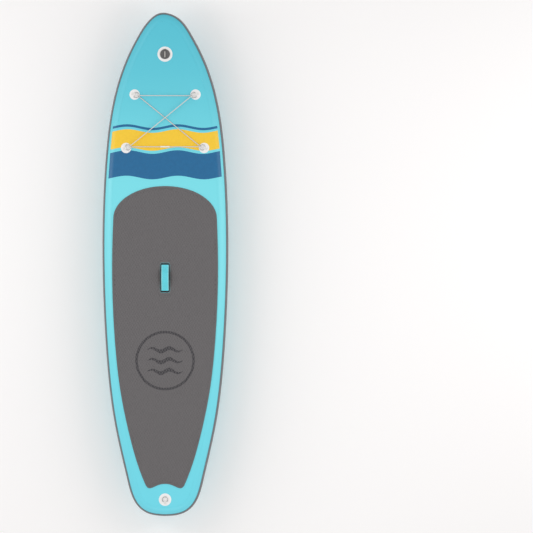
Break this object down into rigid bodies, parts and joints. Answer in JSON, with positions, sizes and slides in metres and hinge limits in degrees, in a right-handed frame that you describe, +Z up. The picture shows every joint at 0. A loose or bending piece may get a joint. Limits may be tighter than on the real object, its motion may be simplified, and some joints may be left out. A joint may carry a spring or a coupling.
{
  "type": "stand up paddleboard",
  "caption": "Inflatable stand up paddleboard with rounded rails, grooved deck pad, laced cargo cord, carry handle, capped valve, tow and leash rings and a slide-in rear fin.",
  "frame": {"origin": "on the flat bottom, midway between nose and tail", "axes": "+Y to the nose, +X to starboard, +Z up through the deck"},
  "size_m": [0.8422, 3.3596, 0.4069],
  "materials": {
    "hull_teal": "satin coated fabric",
    "rail_grey": "satin coated fabric",
    "yarn_white": "polyester yarn",
    "pad_grey": "grooved foam",
    "webbing_black": "woven",
    "grip_teal": "soft padded cover",
    "tab_white": "woven",
    "ring_steel": "polished",
    "cord_pale": "braided",
    "joiner_white": "moulded",
    "seal_rubber": "moulded",
    "spring_steel": "drawn wire",
    "patch_white": "satin coated fabric",
    "valve_grey": "moulded",
    "fin_base_black": "moulded",
    "fin_black": "moulded"
  },
  "bodies": {
    "board": {"bottom_panel": "hull_teal", "bungee_cord": "cord_pale", "bungee_joiner": "joiner_white", "cargo_patch_front_port": "patch_white", "cargo_patch_front_starboard": "patch_white", "cargo_patch_rear_port": "patch_white", "cargo_patch_rear_starboard": "patch_white", "cargo_ring_front_port": "ring_steel", "cargo_ring_front_starboard": "ring_steel", "cargo_ring_rear_port": "ring_steel", "cargo_ring_rear_starboard": "ring_steel", "cargo_tab_front_port": "tab_white", "cargo_tab_front_starboard": "tab_white", "cargo_tab_rear_port": "tab_white", "cargo_tab_rear_starboard": "tab_white", "deck_pad": "pad_grey", "deck_panel": "hull_teal", "drop_stitch_yarns": "yarn_white", "fin_base": "fin_base_black", "fin_patch": "patch_white", "handle_grip": "grip_teal", "handle_patch": "webbing_black", "handle_webbing": "webbing_black", "leash_patch": "patch_white", "leash_tab": "tab_white", "rail_band_nose": "rail_grey", "rail_band_port": "rail_grey", "rail_band_starboard": "rail_grey", "rail_band_tail": "rail_grey", "sidewall_aft": "hull_teal", "sidewall_fore": "hull_teal", "tow_patch": "patch_white", "tow_tab": "tab_white", "valve_body": "valve_grey", "valve_gasket": "seal_rubber", "valve_nut": "valve_grey", "valve_patch": "patch_white", "valve_spring": "spring_steel"},
    "valve_tether": {"valve_tether": "valve_grey", "valve_cap_pin": "spring_steel"},
    "valve_cap": {"valve_cap": "valve_grey", "valve_cap_seal": "seal_rubber"},
    "valve_stem": {"valve_stem": "valve_grey", "valve_button": "valve_grey", "valve_seal": "seal_rubber"},
    "leash_ring": {"leash_ring": "ring_steel"},
    "tow_ring": {"tow_ring": "ring_steel"},
    "fin": {"fin": "fin_black"}
  },
  "joints": [
    {"name": "tether_swivel", "type": "hinge", "parent": "board", "child": "valve_tether", "pos_m": [0, 1.401, 0.17098], "axis": [0, -0.1459, 0.9893], "continuous": true},
    {"name": "cap_flip", "type": "hinge", "parent": "valve_tether", "child": "valve_cap", "pos_m": [0, 1.43193, 0.18403], "axis": [-1, 0, 0], "range_deg": [0, 140]},
    {"name": "valve_push", "type": "slide", "parent": "board", "child": "valve_stem", "axis": [0, 0.1459, -0.9893], "range_m": [0, 0.004], "stiffness_N_per_m": 900, "springref_m": -0.004, "deforming": ["valve_spring"]},
    {"name": "leash_ring_flip", "type": "hinge", "parent": "board", "child": "leash_ring", "pos_m": [0, -1.578, 0.155], "axis": [1, 0, 0], "range_deg": [0, 180]},
    {"name": "tow_ring_flip", "type": "hinge", "parent": "board", "child": "tow_ring", "pos_m": [0, 1.42195, 0.01909], "axis": [-1, 0, 0], "range_deg": [0, 180]},
    {"name": "fin_slide", "type": "slide", "parent": "board", "child": "fin", "axis": [0, -1, 0], "range_m": [0, 0.165]}
  ]
}
